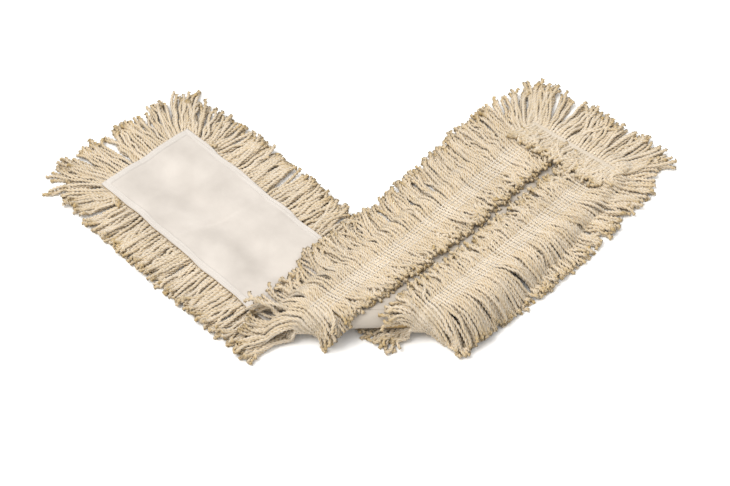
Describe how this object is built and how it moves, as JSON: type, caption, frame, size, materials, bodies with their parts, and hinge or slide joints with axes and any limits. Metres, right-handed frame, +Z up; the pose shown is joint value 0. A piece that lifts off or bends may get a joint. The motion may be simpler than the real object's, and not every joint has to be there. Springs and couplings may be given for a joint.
{
  "type": "dust mop head",
  "caption": "Cut-end cotton dust mop head without frame or handle, canvas back with long yarn fringe all round, folded once into a V.",
  "frame": {"origin": "centre of the bounding box at floor level", "axes": "+X along the fold line towards the end of the upper arm, +Y away from the fold towards the two ends of the V, +Z up"},
  "size_m": [0.881, 0.51, 0.0515],
  "materials": {
    "canvas": "plain woven off-white cotton canvas",
    "yarn": "natural four-ply cotton mop yarn",
    "thread": "white sewing thread"
  },
  "bodies": {
    "lower_arm": {"backing_canvas_fold": "canvas", "backing_canvas_left": "canvas", "band_one_core_fold": "yarn", "band_one_core_left": "yarn", "band_one_inner_fringe_fold": "yarn", "band_one_inner_fringe_left": "yarn", "band_one_outer_fringe_fold": "yarn", "band_one_outer_fringe_left": "yarn", "band_one_sewing_rows_left": "thread", "band_two_core_fold": "yarn", "band_two_core_left": "yarn", "band_two_inner_fringe_fold": "yarn", "band_two_inner_fringe_left": "yarn", "band_two_outer_fringe_fold": "yarn", "band_two_outer_fringe_left": "yarn", "band_two_sewing_rows_left": "thread", "end_strip_core_left": "yarn", "end_strip_inner_fringe_left": "yarn", "end_strip_outer_fringe_left": "yarn", "pocket_cloth_fold": "canvas", "pocket_cloth_left": "canvas", "pocket_hem_end_left": "canvas", "pocket_hem_side_one_fold": "canvas", "pocket_hem_side_one_left": "canvas", "pocket_hem_side_two_fold": "canvas", "pocket_hem_side_two_left": "canvas", "seam_thread_inner_left": "thread", "seam_thread_outer_left": "thread"},
    "upper_arm": {"backing_canvas_right": "canvas", "band_one_core_right": "yarn", "band_one_inner_fringe_right": "yarn", "band_one_outer_fringe_right": "yarn", "band_one_sewing_rows_right": "thread", "band_two_core_right": "yarn", "band_two_inner_fringe_right": "yarn", "band_two_outer_fringe_right": "yarn", "band_two_sewing_rows_right": "thread", "end_strip_core_right": "yarn", "end_strip_inner_fringe_right": "yarn", "end_strip_outer_fringe_right": "yarn", "end_strip_tape_right": "canvas", "pocket_cloth_right": "canvas", "pocket_hem_end_right": "canvas", "pocket_hem_side_one_right": "canvas", "pocket_hem_side_two_right": "canvas", "seam_thread_inner_right": "thread", "seam_thread_outer_right": "thread"}
  },
  "joints": [
    {"name": "fold_hinge", "type": "hinge", "parent": "lower_arm", "child": "upper_arm", "pos_m": [-0.02019, -0.21935, 0.0283], "axis": [1, 0, 0], "range_deg": [0, 178], "deforming": ["backing_canvas_fold", "band_one_core_fold", "band_one_inner_fringe_fold", "band_one_outer_fringe_fold", "band_two_core_fold", "band_two_inner_fringe_fold", "band_two_outer_fringe_fold", "pocket_cloth_fold", "pocket_hem_side_one_fold", "pocket_hem_side_two_fold"]}
  ]
}
